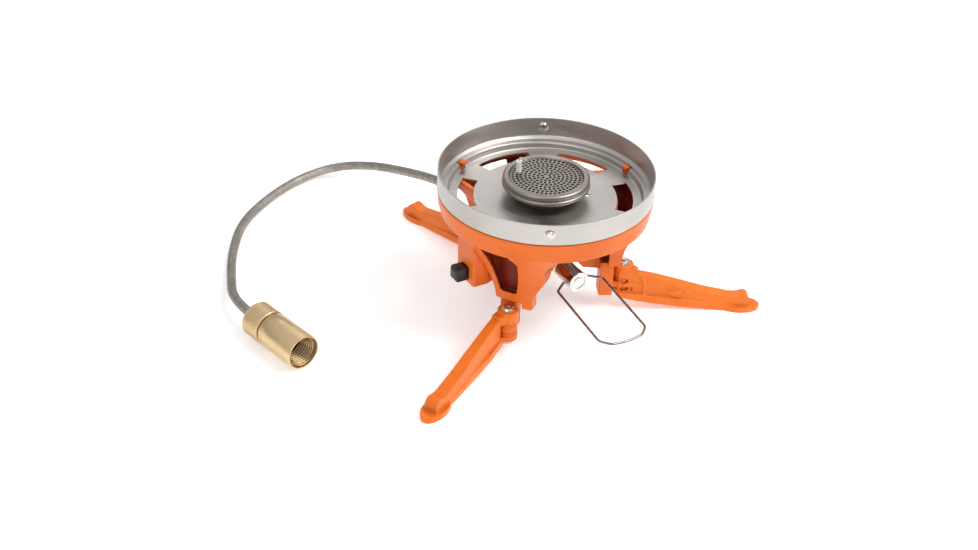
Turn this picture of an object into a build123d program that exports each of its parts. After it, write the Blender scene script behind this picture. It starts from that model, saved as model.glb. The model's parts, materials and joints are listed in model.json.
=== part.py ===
from build123d import *
from math import cos, sin, tan, radians, pi
import os

os.makedirs("parts", exist_ok=True)

# Remote-canister camping stove.  Millimetres, +Z up, origin on the ground under
# the burner axis.  The control knob points along -Y.

# ---- driving dimensions ----------------------------------------------------
RING_R = 64.0            # outside radius of the steel pot ring
RING_TOP = 96.0          # rim height above the ground
WALL = 1.0               # steel sheet of the pot ring
SEAT_Z = 82.2            # pot seat ledge
FLOOR_Z = 78.0           # burner floor of the pot ring
BAND_TOP = 82.6          # top of the moulded band
BAND_BOTTOM = 70.0       # underside of the moulded band
PILLAR_AZ = (216.6, 336.6, 96.6)   # the three leg pillars
LEG_TURN = (-6.6, -6.6, 7.5)       # each leg against its pillar's radius, at rest
PIVOT_R = 51.3           # leg pivot circle
BOSS_R = 6.2             # leg knuckle
BOSS_TOP = 28.0
LEG_LENGTH = 86.0        # pivot to toe
BODY_Y = -3.5            # leg centreline beside its pivot
KNOB_Z = 40.6            # valve spindle height
INLET_Z = 42.0           # hose inlet height
INLET_AZ = 130.0
HOSE_D = 5.8
COUPLING_R = 10.9        # brass coupling that lies on the ground
COUPLING_L = 45.7
BURNER_R = 26.0
HEAD_Z = 90.6            # burner plate
FIT = 0.05               # running clearance per side


def save(name, piece):
    piece.part.label = name
    export_step(piece.part, f"parts/{name}.step")
    print(name, round(piece.part.volume), "mm3")


def polar(radius, angle, z=0.0):
    return Vector(radius * cos(radians(angle)), radius * sin(radians(angle)), z)


def radial_plane(angle, z=0.0):
    """Upright plane through the axis: its x is outward at this azimuth, its y is up."""
    out = polar(1, angle)
    return Plane(origin=(0, 0, z), x_dir=out, z_dir=polar(1, angle - 90))


def outward_plane(angle, radius, z):
    """Plane square to an outward radius, for pieces that point away from the axis."""
    return Plane(origin=polar(radius, angle, z), x_dir=polar(1, angle + 90), z_dir=polar(1, angle))


# ---- steel pot ring ----------------------------------------------------------
SEAT_IN, SEAT_OUT, FLOOR_OUT, CENTRE_HOLE = 57.8, 61.2, 57.2, 11.0
with BuildPart() as pot_ring:
    with BuildSketch(Plane.XZ):
        Polygon(
            (RING_R, BAND_TOP + 0.7), (RING_R, RING_TOP), (RING_R - WALL, RING_TOP),
            (RING_R - WALL, SEAT_Z + 2), (SEAT_OUT, SEAT_Z + WALL), (SEAT_OUT, SEAT_Z),
            (SEAT_IN, SEAT_Z), (FLOOR_OUT, SEAT_Z - 1.2), (FLOOR_OUT, FLOOR_Z),
            (CENTRE_HOLE, FLOOR_Z), (CENTRE_HOLE, FLOOR_Z - WALL),
            (FLOOR_OUT + WALL, FLOOR_Z - WALL), (FLOOR_OUT + WALL, SEAT_Z - WALL),
            (SEAT_OUT + WALL, SEAT_Z - WALL), (SEAT_OUT + WALL, BAND_TOP + 0.7), align=None)
    revolve(axis=Axis.Z)
    rim = pot_ring.edges().filter_by(GeomType.CIRCLE).group_by(Axis.Z)[-1]
    fillet(rim, WALL * 0.25)
    # six arc slots in the floor
    with BuildSketch(Plane.XY.offset(FLOOR_Z - 2)):
        for k in range(6):
            with BuildLine():
                inner = CenterArc((0, 0), 42.5, 10 + 60 * k, 40)
                outer = CenterArc((0, 0), 52.0, 10 + 60 * k, 40)
                Line(inner @ 0, outer @ 0)
                Line(inner @ 1, outer @ 1)
            make_face()
    extrude(amount=4, mode=Mode.SUBTRACT)
    # notches for the three band hooks, through the riser between floor and seat
    for angle in (0, 120, 240):
        with BuildSketch(outward_plane(angle, FLOOR_OUT - 0.8, 81)):
            Rectangle(5.2, 9.0)
        extrude(amount=3.4, mode=Mode.SUBTRACT)
    # electrode hole, pressure hole and the two rivet holes in the wall
    with BuildSketch(Plane.XY.offset(FLOOR_Z - 2)):
        with Locations(polar(17, 131)):
            Circle(2.2)
        with Locations(polar(25, -27)):
            RegularPolygon(1.7, 5)
    extrude(amount=4, mode=Mode.SUBTRACT)
    for angle in (60, 240):
        with BuildSketch(outward_plane(angle, RING_R - 3, 90)):
            Circle(1.55)
        extrude(amount=5, mode=Mode.SUBTRACT)
save("pot_ring", pot_ring)

with BuildPart() as ring_rivets:
    for angle in (60, 240):
        with BuildSketch(outward_plane(angle, RING_R - WALL - 0.25, 90)):
            Circle(1.5)
        extrude(amount=WALL + 0.5)
        # domed heads either side of the sheet
        with BuildSketch(outward_plane(angle, RING_R + 0.15, 90)):
            Circle(3.4)
        extrude(amount=1.3, taper=38)
        with BuildSketch(outward_plane(angle, RING_R - WALL - 0.15, 90)):
            Circle(2.6)
        extrude(amount=-1.0, taper=38)
save("ring_rivets", ring_rivets)

# ---- moulded base: band, three pillars, webs and hub ------------------------
LUG_Z0, LUG_Z1 = 14.0, 18.0      # hinge tongue of each pillar
EAR_Z0, EAR_Z1 = 11.7, 20.3      # clevis gap of each leg


PILLAR_X, PILLAR_DEEP = 30.0, 34.0   # where a pillar's outline starts, and how deep it is cut

# hollow of a pillar, open at the top under the band
with BuildPart() as pillar_hollow:
    with BuildSketch(Plane.YZ.offset(PILLAR_X)):
        Polygon((-22.4, 78), (27.8, 78), (27.6, 71), (21.2, 63.5), (18.4, 58.4), (16.9, 47.5),
                (12.6, 40.5), (10.2, 36), (-7.2, 36), (-8.8, 41), (-14.6, 54.5), (-21.5, 66.5), align=None)
    extrude(amount=PILLAR_DEEP)
    with BuildSketch(Plane.XZ):
        Polygon((43.2, 34), (46.0, 34), (47.9, 46), (50.5, 54), (54.5, 62), (59.1, 69.5), (59.4, 80),
                (43.2, 80), align=None)
    revolve(axis=Axis.Z, mode=Mode.INTERSECT)

with BuildPart() as pillar:
    # front outline (across, up)
    with BuildSketch(Plane.YZ.offset(PILLAR_X)):
        Polygon((-25, 76), (31, 76), (30.5, 70), (24, 63.5), (21, 59), (19.4, 47), (15.6, 40.5),
                (13, 35), (13, 27.4), (6.8, 27.4), (6.8, 31.5), (-9.5, 31.5), (-11, 40), (-17, 54),
                (-24, 66), align=None)
    extrude(amount=PILLAR_DEEP)
    with BuildSketch(Plane.XZ):
        Polygon((41, 24), (47.8, 24), (48.4, 34), (50.2, 46), (52.8, 54), (56.8, 62), (61.4, 69.5),
                (61.8, 76), (41, 76), align=None)
    revolve(axis=Axis.Z, mode=Mode.INTERSECT)
    add(pillar_hollow.part, mode=Mode.SUBTRACT)
    # tall window in the front wall, open up to the band
    with BuildSketch(Plane.YZ.offset(43.2)):
        Polygon((-16, 75), (2.6, 75), (2.4, 68.5), (4.8, 65.8), (6.2, 62), (3.8, 38.4), (2.6, 37.5),
                (-5.4, 37.5), (-6.6, 38.6), (-15.4, 68), align=None)
    extrude(amount=26, mode=Mode.SUBTRACT)
    # hinge block behind the leg knuckle, and its tongue
    with BuildSketch(Plane.XY.offset(9.5)):
        Polygon((35.5, -8), (44, -8), (44.2, 2), (35.5, 2), align=None)
    extrude(amount=24)
    with BuildSketch(Plane.XY.offset(LUG_Z0)):
        with Locations((PIVOT_R, 0)):
            Circle(BOSS_R - 0.2)
        Polygon((43, -6), (PIVOT_R, -6.0), (PIVOT_R, 2), (43, 2), align=None)
    extrude(amount=LUG_Z1 - LUG_Z0)
    with Locations((PIVOT_R, 0, LUG_Z1)):
        Hole(2.0 + FIT)
    # web from the pillar to the hub
    with BuildSketch(Plane.XZ.offset(-1.5)):
        Polygon((42, 24.5), (26, 26.5), (21.5, 31), (19.2, 50), (14, 56), (14, 61), (20, 66),
                (42, 71), align=None)
    extrude(amount=3)

HUB_Z0, HUB_Z1 = 56.0, 61.0
with BuildPart() as base:
    with BuildSketch(Plane.XZ):
        Polygon((62.3, BAND_BOTTOM), (64.0, BAND_TOP - 1.5), (64.0, BAND_TOP), (62.3, BAND_TOP),
                (62.3, SEAT_Z - 1.1), (59.3, SEAT_Z - 1.1), (58.9, 76.9), (53.0, 76.9), (53.0, 74.4),
                (58.6, 74.4), (59.8, BAND_BOTTOM), align=None)
    revolve(axis=Axis.Z)
    lip = base.edges().filter_by(GeomType.CIRCLE).group_by(Axis.Z)[0]
    fillet(lip, 0.8)
    for angle in PILLAR_AZ:
        add(pillar.part.rotate(Axis.Z, angle))
    with BuildSketch(Plane.XY.offset(HUB_Z0)):
        Circle(17)
    extrude(amount=HUB_Z1 - HUB_Z0)
    with BuildSketch(Plane.XY.offset(HUB_Z0 - 1)):
        Circle(9.15)
    extrude(amount=HUB_Z1 - HUB_Z0 + 2, mode=Mode.SUBTRACT)
    # hooks that clip the pot ring down
    for angle in (0, 120, 240):
        with BuildSketch(radial_plane(angle)):
            Polygon((57.0, 76), (59.0, 76), (59.0, 83.4), (55.2, 83.4), (55.2, 81.2),
                    (57.0, 81.0), align=None)
        extrude(amount=2.2, both=True)
save("base_housing", base)

# ---- legs -------------------------------------------------------------------
# wide foot flange, from its plan outline and its sloping side band
with BuildPart() as leg_flange:
    with BuildSketch(Plane.XY):
        Polygon((-3, BODY_Y - 5.6), (20, BODY_Y - 5.8), (72, BODY_Y - 4.6), (72, BODY_Y + 4.6),
                (20, BODY_Y + 5.6), (5, BODY_Y + 4.5), (-3, BODY_Y + 4.5), align=None)
        with Locations((LEG_LENGTH - 12.5, BODY_Y)):
            Ellipse(12.5, 7.0)
    extrude(amount=30)
    with BuildSketch(Plane.XZ.offset(-20)):
        Polygon((-3, 8.1), (10, 5.6), (35, 2.4), (62, 0), (88, 0), (88, 3.2), (66, 3.8),
                (10, 10.8), (-3, 11.6), align=None)
    extrude(amount=60, mode=Mode.INTERSECT)

with BuildPart() as leg_shape:
    # upright web with drafted sides: its side outline met by its cross-section
    with BuildSketch(Plane.XZ.offset(-BODY_Y)):
        with BuildLine():
            Polyline((-3, 8.6), (-3, 24.4), (3, 25.0), (8, 24.0), (20, 21.6), (36, 17.2), (50, 13.2), (66, 9.8))
            ThreePointArc((66, 9.8), (70, 9.7), (74, 11.0))
            ThreePointArc((74, 11.0), (77.4, 10.3), (79.0, 7.4))
            Polyline((79.0, 7.4), (79.6, 1.2), (66, 1.2), (-3, 8.6))
        make_face()
    extrude(amount=5.2, both=True)
    with BuildSketch(Plane.YZ.offset(-10)):
        Polygon((BODY_Y - 4.6, 0), (BODY_Y - 4.3, 6), (BODY_Y - 2.6, 27), (BODY_Y + 2.6, 27),
                (BODY_Y + 4.3, 6), (BODY_Y + 4.6, 0), align=None)
    extrude(amount=100, mode=Mode.INTERSECT)
    add(leg_flange.part)
    # knuckle
    with BuildSketch(Plane.XY.offset(8)):
        Circle(BOSS_R)
    extrude(amount=BOSS_TOP - 8)
    # bridge from the knuckle to the web
    with BuildSketch(Plane.XY.offset(9)):
        Polygon((-2, -6), (9, -6), (9, -1), (4.6, 3.6), (0, 5), (-2, 2), align=None)
    extrude(amount=17)
    # clevis gap that swings round the pillar's tongue
    with BuildSketch(Plane.XY.offset(EAR_Z0)):
        Circle(BOSS_R + 0.6)
        Polygon((-12, -5.2), (0, -6.8), (6.8, -0.4), (12, 1.4), (12, 12), (-12, 12), align=None)
    extrude(amount=EAR_Z1 - EAR_Z0, mode=Mode.SUBTRACT)
    with Locations((0, 0, BOSS_TOP)):
        Hole(2.0 + FIT)
    with BuildSketch(Plane.XY):
        Circle(4.4)   # nut pocket
    extrude(amount=8.3, mode=Mode.SUBTRACT)
    # two shallow cores in the outer side wall
    with BuildSketch(Plane.XZ.offset(12)):
        with Locations((2.2, 13.2), (2.2, 18.8)):
            Rectangle(7.6, 2.2)
    extrude(amount=-5.6, mode=Mode.SUBTRACT)


def place_leg(index):
    pillar_angle = PILLAR_AZ[index]
    pivot = polar(PIVOT_R, pillar_angle)
    turned = leg_shape.part.rotate(Axis.Z, pillar_angle + LEG_TURN[index])
    return turned.moved(Location(pivot))


for index, name in enumerate(("leg_left", "leg_right", "leg_rear")):
    with BuildPart() as leg:
        add(place_leg(index))
    save(name, leg)

# pivot screws (cross-recess pan heads), bushes and nuts, one of each set per leg
with BuildPart() as leg_screws:
    for angle in PILLAR_AZ:
        with Locations(Location(polar(PIVOT_R, angle))):
            with Locations((0, 0, BOSS_TOP + FIT)):
                Cone(3.8, 2.9, 1.4, align=(Align.CENTER, Align.CENTER, Align.MIN))
            with Locations((0, 0, 6.2)):
                Cylinder(2.0, BOSS_TOP + FIT - 6.2, align=(Align.CENTER, Align.CENTER, Align.MIN))
        top = Plane(origin=polar(PIVOT_R, angle, BOSS_TOP + FIT + 1.45))
        with BuildSketch(top):
            Rectangle(3.6, 0.9)
            Rectangle(0.9, 3.6)
        extrude(amount=-1.1, mode=Mode.SUBTRACT)
save("leg_screws", leg_screws)

with BuildPart() as leg_bushes:
    for angle in PILLAR_AZ:
        for low, high in ((EAR_Z0 + FIT, LUG_Z0), (LUG_Z1, EAR_Z1 - FIT)):
            with BuildSketch(Plane(origin=polar(PIVOT_R, angle, low))):
                Circle(BOSS_R - 0.2)
                Circle(2.0 + FIT, mode=Mode.SUBTRACT)
            extrude(amount=high - low)
save("leg_bushes", leg_bushes)

with BuildPart() as leg_nuts:
    for angle in PILLAR_AZ:
        with BuildSketch(Plane(origin=polar(PIVOT_R, angle, 4.95))):
            RegularPolygon(3.5, 6, major_radius=False)
        extrude(amount=3.3)
        with BuildSketch(Plane(origin=polar(PIVOT_R, angle, 6.15))):
            Circle(2.02)
        extrude(amount=2.3, mode=Mode.SUBTRACT)
save("leg_nuts", leg_nuts)

# ---- burner -----------------------------------------------------------------
TUBE_IN, TUBE_OUT = 7.5, 9.0
with BuildPart() as mixing_tube:
    with BuildSketch(Plane.XZ):
        Polygon((TUBE_IN, 50), (TUBE_OUT, 50), (TUBE_OUT, HUB_Z1), (14, HUB_Z1), (14, 63),
                (TUBE_OUT, 63), (TUBE_OUT, 82.4), (TUBE_IN, 82.4), align=None)
    revolve(axis=Axis.Z)
    for angle in (45, 135, 225, 315):
        with BuildSketch(outward_plane(angle, 5, 68.5)):
            Circle(2.8)
        extrude(amount=6, mode=Mode.SUBTRACT)
save("mixing_tube", mixing_tube)

with BuildPart() as burner_nut:
    with BuildSketch(Plane.XY.offset(52)):
        RegularPolygon(12.5, 6, major_radius=False)
        Circle(TUBE_OUT + 0.02, mode=Mode.SUBTRACT)
    extrude(amount=HUB_Z0 - 52)
save("burner_nut", burner_nut)

with BuildPart() as burner_cup:
    with BuildSketch(Plane.XZ):
        with BuildLine():
            Polyline((TUBE_OUT + 0.02, 79.0), (11.6, 79.0), (12.4, 80.4), (20, 81.6), (23.6, 83.6),
                     (24.6, 85.0))
            ThreePointArc((24.6, 85.0), (BURNER_R, 86.4), (24.9, 87.7))
            Polyline((24.9, 87.7), (24.9, 88.5))
            ThreePointArc((24.9, 88.5), (25.7, 90.1), (24.4, 91.4))
            Polyline((24.4, 91.4), (22.4, 91.2), (22.0, 90.4), (22.0, 86), (19, 83.2), (11.6, 82.2),
                     (TUBE_OUT + 0.02, 82.2), (TUBE_OUT + 0.02, 79.0))
        make_face()
    revolve(axis=Axis.Z)
    with BuildSketch(Plane.XY.offset(78)):
        with Locations(polar(17, 131)):
            Circle(1.9)
    extrude(amount=8, mode=Mode.SUBTRACT)
save("burner_cup", burner_cup)

with BuildPart() as burner_plate:
    with BuildSketch(Plane.XZ):
        with BuildLine():
            Line((0.7, HEAD_Z - 2.2), (0.7, HEAD_Z - 1.4))
            ThreePointArc((0.7, HEAD_Z - 1.4), (11, HEAD_Z - 1.0), (21.9, HEAD_Z))
            Line((21.9, HEAD_Z), (21.9, HEAD_Z - 0.8))
            ThreePointArc((21.9, HEAD_Z - 0.8), (11, HEAD_Z - 1.8), (0.7, HEAD_Z - 2.2))
        make_face()
    revolve(axis=Axis.Z)
    with BuildSketch(Plane.XY.offset(HEAD_Z - 4)):
        for ring in range(1, 9):
            with PolarLocations(2.48 * ring, 6 * ring, start_angle=11 * ring):
                Circle(0.95)
        with Locations(polar(17, 131)):
            Circle(1.9)
    extrude(amount=8, mode=Mode.SUBTRACT)
save("burner_plate", burner_plate)

# ---- valve ------------------------------------------------------------------
with BuildPart() as valve_body:
    with BuildSketch(Plane.XY.offset(34)):
        Circle(8)
    extrude(amount=15.8)
    with BuildSketch(Plane.XY.offset(49)):
        Circle(TUBE_IN - 0.02)
    extrude(amount=4.5)
    with BuildSketch(Plane(origin=(0, 0, KNOB_Z), z_dir=(0, -1, 0))):
        Circle(6)
    extrude(amount=17)
    with BuildSketch(outward_plane(INLET_AZ, 0, INLET_Z)):
        Circle(5)
    extrude(amount=18)
    # jet seat, gas way, spindle bore with seal pocket, inlet bore
    with BuildSketch(Plane.XY.offset(54)):
        Circle(2.5)
    extrude(amount=-5, mode=Mode.SUBTRACT)
    with BuildSketch(Plane.XY.offset(54)):
        Circle(1.0)
    extrude(amount=-14, mode=Mode.SUBTRACT)
    with BuildSketch(Plane(origin=(0, -5, KNOB_Z), z_dir=(0, -1, 0))):
        Circle(2.0 + FIT)
    extrude(amount=14, mode=Mode.SUBTRACT)
    with BuildSketch(Plane(origin=(0, -13, KNOB_Z), z_dir=(0, -1, 0))):
        Circle(4.0)
    extrude(amount=6, mode=Mode.SUBTRACT)
    with BuildSketch(outward_plane(INLET_AZ, 4, INLET_Z)):
        Circle(1.5)
    extrude(amount=16, mode=Mode.SUBTRACT)
save("valve_body", valve_body)

with BuildPart() as jet:
    with BuildSketch(Plane.XY.offset(49.2)):
        Circle(2.48)
    extrude(amount=4.3)
    with BuildSketch(Plane.XY.offset(53.5)):
        RegularPolygon(3.0, 6, major_radius=False)
    extrude(amount=2.4)
    with BuildSketch(Plane.XY.offset(55.9)):
        Circle(2.2)
    extrude(amount=2.2, taper=22)
    with BuildSketch(Plane.XY.offset(49.2)):
        Circle(0.4)
    extrude(amount=9, mode=Mode.SUBTRACT)
save("jet", jet)

with BuildPart() as spindle_seal:
    with BuildSketch(Plane.XZ.offset(14.6)):
        with Locations((0, KNOB_Z)):
            Circle(3.9)
            Circle(2.0 + FIT, mode=Mode.SUBTRACT)
    extrude(amount=1.8)
save("spindle_seal", spindle_seal)

with BuildPart() as gland_nut:
    with BuildSketch(Plane.XZ.offset(16.5)):
        with Locations((0, KNOB_Z)):
            Circle(3.95)
            Circle(2.0 + FIT, mode=Mode.SUBTRACT)
    extrude(amount=0.6)
    with BuildSketch(Plane.XZ.offset(17.0)):
        with Locations((0, KNOB_Z)):
            RegularPolygon(5.5, 6, major_radius=False)
            Circle(2.0 + FIT, mode=Mode.SUBTRACT)
    extrude(amount=4.5)
save("gland_nut", gland_nut)

# ---- control knob: steel sleeve, moulded core, end disc, spindle, wire bail --
KNOB_Y0, KNOB_Y1, KNOB_R = 24.6, 40.6, 6.0
with BuildPart() as spindle:
    with BuildSketch(Plane.XZ.offset(8.0)):
        with Locations((0, KNOB_Z)):
            Circle(2.0)
    extrude(amount=26.0)
    with BuildSketch(Plane(origin=(0, -8.0, KNOB_Z), z_dir=(0, 1, 0))):
        Circle(1.2)
    extrude(amount=2.6, taper=18)
save("valve_spindle", spindle)

with BuildPart() as knob_core:
    with BuildSketch(Plane.XZ.offset(KNOB_Y0)):
        with Locations((0, KNOB_Z)):
            Circle(KNOB_R - 0.95)
    extrude(amount=KNOB_Y1 - KNOB_Y0 - 0.05)
    with BuildSketch(Plane.XZ.offset(KNOB_Y0)):
        with Locations((0, KNOB_Z)):
            Circle(2.02)
    extrude(amount=34.05 - KNOB_Y0, mode=Mode.SUBTRACT)
    with BuildSketch(Plane.YZ.offset(-8)):
        with Locations((-38.0, KNOB_Z)):
            Circle(0.85)
    extrude(amount=16, mode=Mode.SUBTRACT)
save("knob_core", knob_core)

with BuildPart() as knob_sleeve:
    with BuildSketch(Plane.XZ.offset(KNOB_Y0 - 0.8)):
        with Locations((0, KNOB_Z)):
            Circle(KNOB_R + 1.0)
    extrude(amount=0.8)
    with BuildSketch(Plane.XZ.offset(KNOB_Y0)):
        with Locations((0, KNOB_Z)):
            Circle(KNOB_R)
    extrude(amount=KNOB_Y1 - KNOB_Y0)
    with BuildSketch(Plane.XZ.offset(KNOB_Y0 - 2)):
        with Locations((0, KNOB_Z)):
            Circle(KNOB_R - 0.9)
    extrude(amount=KNOB_Y1 - KNOB_Y0 + 4, mode=Mode.SUBTRACT)
    # grip windows, and the bail's two holes
    for angle in (45, 135, 225, 315):
        with BuildSketch(Plane(origin=(0, -30.6, KNOB_Z), x_dir=(0, -1, 0),
                               z_dir=(cos(radians(angle)), 0, sin(radians(angle))))):
            SlotOverall(8.6, 3.6)
        extrude(amount=9, mode=Mode.SUBTRACT)
    with BuildSketch(Plane.YZ.offset(-8)):
        with Locations((-38.0, KNOB_Z)):
            Circle(0.85)
    extrude(amount=16, mode=Mode.SUBTRACT)
save("knob_sleeve", knob_sleeve)

with BuildPart() as knob_disc:
    with BuildSketch(Plane.XZ.offset(KNOB_Y1)):
        with Locations((0, KNOB_Z)):
            Circle(KNOB_R + 0.5)
    extrude(amount=1.2)
    with BuildSketch(Plane.XZ.offset(KNOB_Y1 + 1.2)):
        with Locations((0, KNOB_Z)):
            Circle(4.2)
            Circle(3.3, mode=Mode.SUBTRACT)
    extrude(amount=-0.5, mode=Mode.SUBTRACT)
    fillet(knob_disc.edges().filter_by(GeomType.CIRCLE).sort_by(SortBy.RADIUS)[-2:], 0.3)
save("knob_disc", knob_disc)

BAIL_WIRE, BAIL_HALF, BAIL_REACH, BAIL_DROP = 1.5, 15.6, 57.0, -8.3
bail_plane = Plane(origin=(0, -38.0, KNOB_Z), x_dir=(1, 0, 0),
                   z_dir=(0, sin(radians(BAIL_DROP)), cos(radians(BAIL_DROP))))
with BuildPart() as wire_bail:
    with BuildLine(bail_plane) as bail_path:
        side = FilletPolyline((3.2, 0), (8.6, 0), (BAIL_HALF, -5.2), (BAIL_HALF + 0.2, -50.5),
                              (10.5, -BAIL_REACH + 1.6), (0, -BAIL_REACH),
                              (-10.5, -BAIL_REACH + 1.6), (-BAIL_HALF - 0.2, -50.5),
                              (-BAIL_HALF, -5.2), (-8.6, 0), (-3.2, 0),
                              radius=(1.8, 2.6, 4.0, 6.0, 30.0, 6.0, 4.0, 2.6, 1.8))
    with BuildSketch(Plane(origin=side @ 0, z_dir=side % 0)):
        Circle(BAIL_WIRE / 2)
    sweep(path=side)
save("wire_bail", wire_bail)

# ---- igniter ----------------------------------------------------------------
BOX_X0, BOX_X1, BOX_Y0, BOX_Y1, BOX_Z0 = -56.0, -36.0, -15.0, 5.4, 38.0
BUTTON_Y, BUTTON_Z, BUTTON = -4.8, 44.0, 8.0
with BuildPart() as igniter_box:
    with BuildSketch(Plane.XY.offset(BOX_Z0)):
        Polygon((BOX_X0, BOX_Y0), (BOX_X0, BOX_Y1), (BOX_X1 - 2, BOX_Y1), (BOX_X1 - 2, BOX_Y0 + 3.5),
                (-46, BOX_Y0), align=None)
        fillet(vertices().group_by(Axis.X)[0], 1.6)
    extrude(amount=BAND_BOTTOM - 0.1 - BOX_Z0)
    with BuildSketch(Plane.XY.offset(BOX_Z0 + 2)):
        Polygon((BOX_X0 + 2, BOX_Y0 + 2), (BOX_X0 + 2, BOX_Y1 - 2), (BOX_X1, BOX_Y1 - 2),
                (BOX_X1, BOX_Y0 + 5.5), (-46, BOX_Y0 + 2), align=None)
    extrude(amount=BAND_BOTTOM, mode=Mode.SUBTRACT)
    with BuildSketch(Plane.YZ.offset(BOX_X0 - 1)):
        with Locations((BUTTON_Y, BUTTON_Z)):
            Rectangle(BUTTON + 0.7, BUTTON + 0.7)
    extrude(amount=4, mode=Mode.SUBTRACT)

with BuildPart() as igniter_module:
    with BuildSketch(Plane.YZ.offset(-53.6)):
        with Locations((BUTTON_Y, BUTTON_Z)):
            Rectangle(9.0, 7.9)
    extrude(amount=17)
    with BuildSketch(Plane.YZ.offset(-53.6)):
        with Locations((BUTTON_Y, BUTTON_Z)):
            Rectangle(5.4, 5.4)
    extrude(amount=15.6, mode=Mode.SUBTRACT)
save("igniter_module", igniter_module)

with BuildPart() as igniter_button:
    with BuildSketch(Plane.YZ.offset(-64.2)):
        with Locations((BUTTON_Y, BUTTON_Z)):
            Rectangle(BUTTON, BUTTON)
    extrude(amount=7.4)
    chamfer(igniter_button.faces().sort_by(Axis.X)[0].edges(), 1.1)
    with BuildSketch(Plane.YZ.offset(-57)):
        with Locations((BUTTON_Y, BUTTON_Z)):
            Rectangle(5.0, 5.0)
    extrude(amount=8.6)
save("igniter_button", igniter_button)

SPRING_COILS, SPRING_L = 5, 9.6
with BuildPart() as button_spring:
    with BuildLine():
        coil = Helix(pitch=SPRING_L / SPRING_COILS, height=SPRING_L, radius=1.9,
                     center=(-48.0, BUTTON_Y, BUTTON_Z), direction=(1, 0, 0))
    with BuildSketch(Plane(origin=coil @ 0, z_dir=coil % 0)):
        Circle(0.3)
    sweep(path=coil, is_frenet=True)
save("button_spring", button_spring)

# where the box meets the pillar, it is cut to the pillar's own wall
cut_box = igniter_box.part - base.part
with BuildPart() as igniter_cover:
    add(cut_box.solids().sort_by(SortBy.VOLUME)[-1])
save("igniter_cover", igniter_cover)

with BuildPart() as electrode_ceramic:
    with BuildSketch(Plane(origin=polar(17, 131, 75))):
        Circle(1.7)
        Circle(0.5, mode=Mode.SUBTRACT)
    extrude(amount=22.5)
    with BuildSketch(Plane(origin=polar(17, 131, 74))):
        Circle(2.9)
        Circle(0.5, mode=Mode.SUBTRACT)
    extrude(amount=2.6)
save("electrode_ceramic", electrode_ceramic)

with BuildPart() as electrode_wire:
    foot = polar(17, 131)
    with BuildLine() as tip_path:
        tip = FilletPolyline((foot.X, foot.Y, 73), (foot.X, foot.Y, 99.8),
                             (foot.X * 0.72, foot.Y * 0.72, 98.8), radius=0.9)
    with BuildSketch(Plane(origin=tip @ 0, z_dir=(0, 0, 1))):
        Circle(0.45)
    sweep(path=tip)
save("electrode_wire", electrode_wire)

with BuildPart() as igniter_lead:
    with BuildLine() as lead_path:
        lead = FilletPolyline((-36.6, BUTTON_Y, BUTTON_Z), (-29, BUTTON_Y, BUTTON_Z),
                              (-23, 3.0, 54), (foot.X - 2.0, foot.Y - 1.0, 66), (foot.X, foot.Y, 72.95),
                              radius=(4.0, 5.0, 3.0))
    with BuildSketch(Plane(origin=lead @ 0, z_dir=lead % 0)):
        Circle(1.0)
    sweep(path=lead)
save("igniter_lead", igniter_lead)

# ---- hose and its two end fittings ------------------------------------------
hose_start = polar(28, INLET_AZ, INLET_Z)
coupling_back = Vector(-165.8, 50.3, COUPLING_R + 0.05)
coupling_dir = Vector(0.231, -0.973, 0).normalized()
hose_end = coupling_back - coupling_dir * 4
HOSE_ROUTE = [
    tuple(hose_start), tuple(polar(52, INLET_AZ, INLET_Z)), (-35.1, 63.6, 45), (-21.4, 85.2, 47.3),
    (-20.7, 109.5, 39.1), (-21.4, 136, 29.4), (-26.7, 174.9, 16), (-44.5, 198.1, 8.6),
    (-72, 202.6, 3), (-103.2, 186.3, 3.1), (-130, 164.8, 3), (-149.2, 132.8, 3.1),
    (-160.5, 105.4, 4.4), tuple(coupling_back - coupling_dir * 24),
    tuple(hose_end)]


def corner_radii(points):
    """Arc at each corner: 0.45 of the shorter run over the tangent of half the turn."""
    radii = []
    for a, b, c in zip(points, points[1:], points[2:]):
        before = Vector(*b) - Vector(*a)
        after = Vector(*c) - Vector(*b)
        half_turn = before.get_angle(after) / 2
        radii.append(0.45 * min(before.length, after.length) / tan(radians(half_turn)))
    return radii


hose_radii = corner_radii(HOSE_ROUTE)
print("hose arc radii", [round(radius) for radius in hose_radii])
with BuildPart() as hose:
    with BuildLine() as hose_line:
        route = FilletPolyline(*HOSE_ROUTE, radius=hose_radii)
    with BuildSketch(Plane(origin=route @ 0, z_dir=route % 0)):
        Circle(HOSE_D / 2)
    sweep(path=route)
hose_length = route.length
print("hose length", round(hose_length), "volume ratio",
      round(hose.part.volume / (pi * HOSE_D**2 / 4 * hose_length), 4))
save("hose", hose)

with BuildPart() as inlet_fitting:
    with BuildSketch(outward_plane(INLET_AZ, 18.05, INLET_Z)):
        Circle(4.9)
        Circle(1.5, mode=Mode.SUBTRACT)
    extrude(amount=3)
    with BuildSketch(outward_plane(INLET_AZ, 21, INLET_Z)):
        RegularPolygon(5.6, 6, major_radius=False)
        Circle(1.5, mode=Mode.SUBTRACT)
    extrude(amount=4.5)
    with BuildSketch(outward_plane(INLET_AZ, 25.5, INLET_Z)):
        Circle(4.0)
        Circle(1.5, mode=Mode.SUBTRACT)
    extrude(amount=2.45)
save("inlet_fitting", inlet_fitting)

with BuildPart() as inlet_ferrule:
    with BuildSketch(outward_plane(INLET_AZ, 28.05, INLET_Z)):
        Circle(4.1)
        Circle(HOSE_D / 2 + 0.03, mode=Mode.SUBTRACT)
    extrude(amount=8)
save("inlet_ferrule", inlet_ferrule)


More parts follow.
